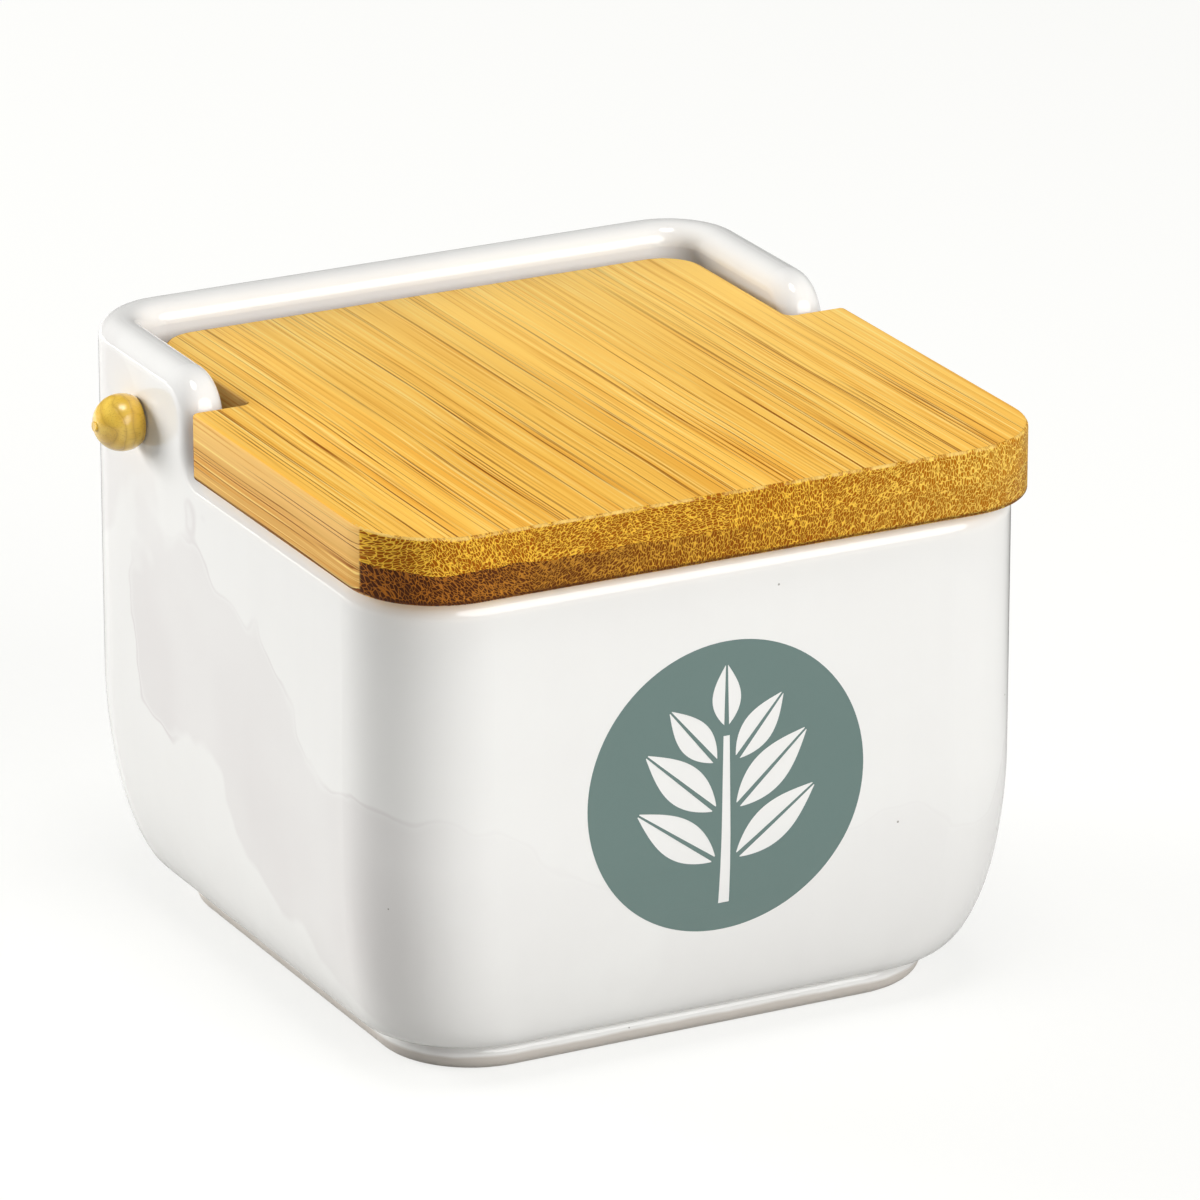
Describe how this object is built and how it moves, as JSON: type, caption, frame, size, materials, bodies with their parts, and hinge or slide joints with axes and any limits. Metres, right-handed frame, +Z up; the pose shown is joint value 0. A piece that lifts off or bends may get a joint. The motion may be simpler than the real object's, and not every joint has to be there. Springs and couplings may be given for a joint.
{
  "type": "salt box",
  "caption": "Square glazed ceramic salt box with a raised back wall and side ears, and a flat bamboo lid that swings up on ball-headed wooden pegs.",
  "frame": {"origin": "middle of the foot ring's underside", "axes": "+Z up, the front of the box faces -Y, +X to the right along the pegs' axis"},
  "size_m": [0.1304, 0.1193, 0.0982],
  "materials": {
    "glaze": "glossy white glaze",
    "bamboo": "oiled bamboo board",
    "peg_wood": "lacquered turned wood"
  },
  "bodies": {
    "box": {"ceramic_box": "glaze"},
    "lid": {"bamboo_lid": "bamboo", "left_pivot_peg": "peg_wood", "right_pivot_peg": "peg_wood"}
  },
  "joints": [
    {"name": "lid_hinge", "type": "hinge", "parent": "box", "child": "lid", "pos_m": [0, 0.0333, 0.0862], "axis": [-1, 0, 0], "range_deg": [0, 124]}
  ]
}
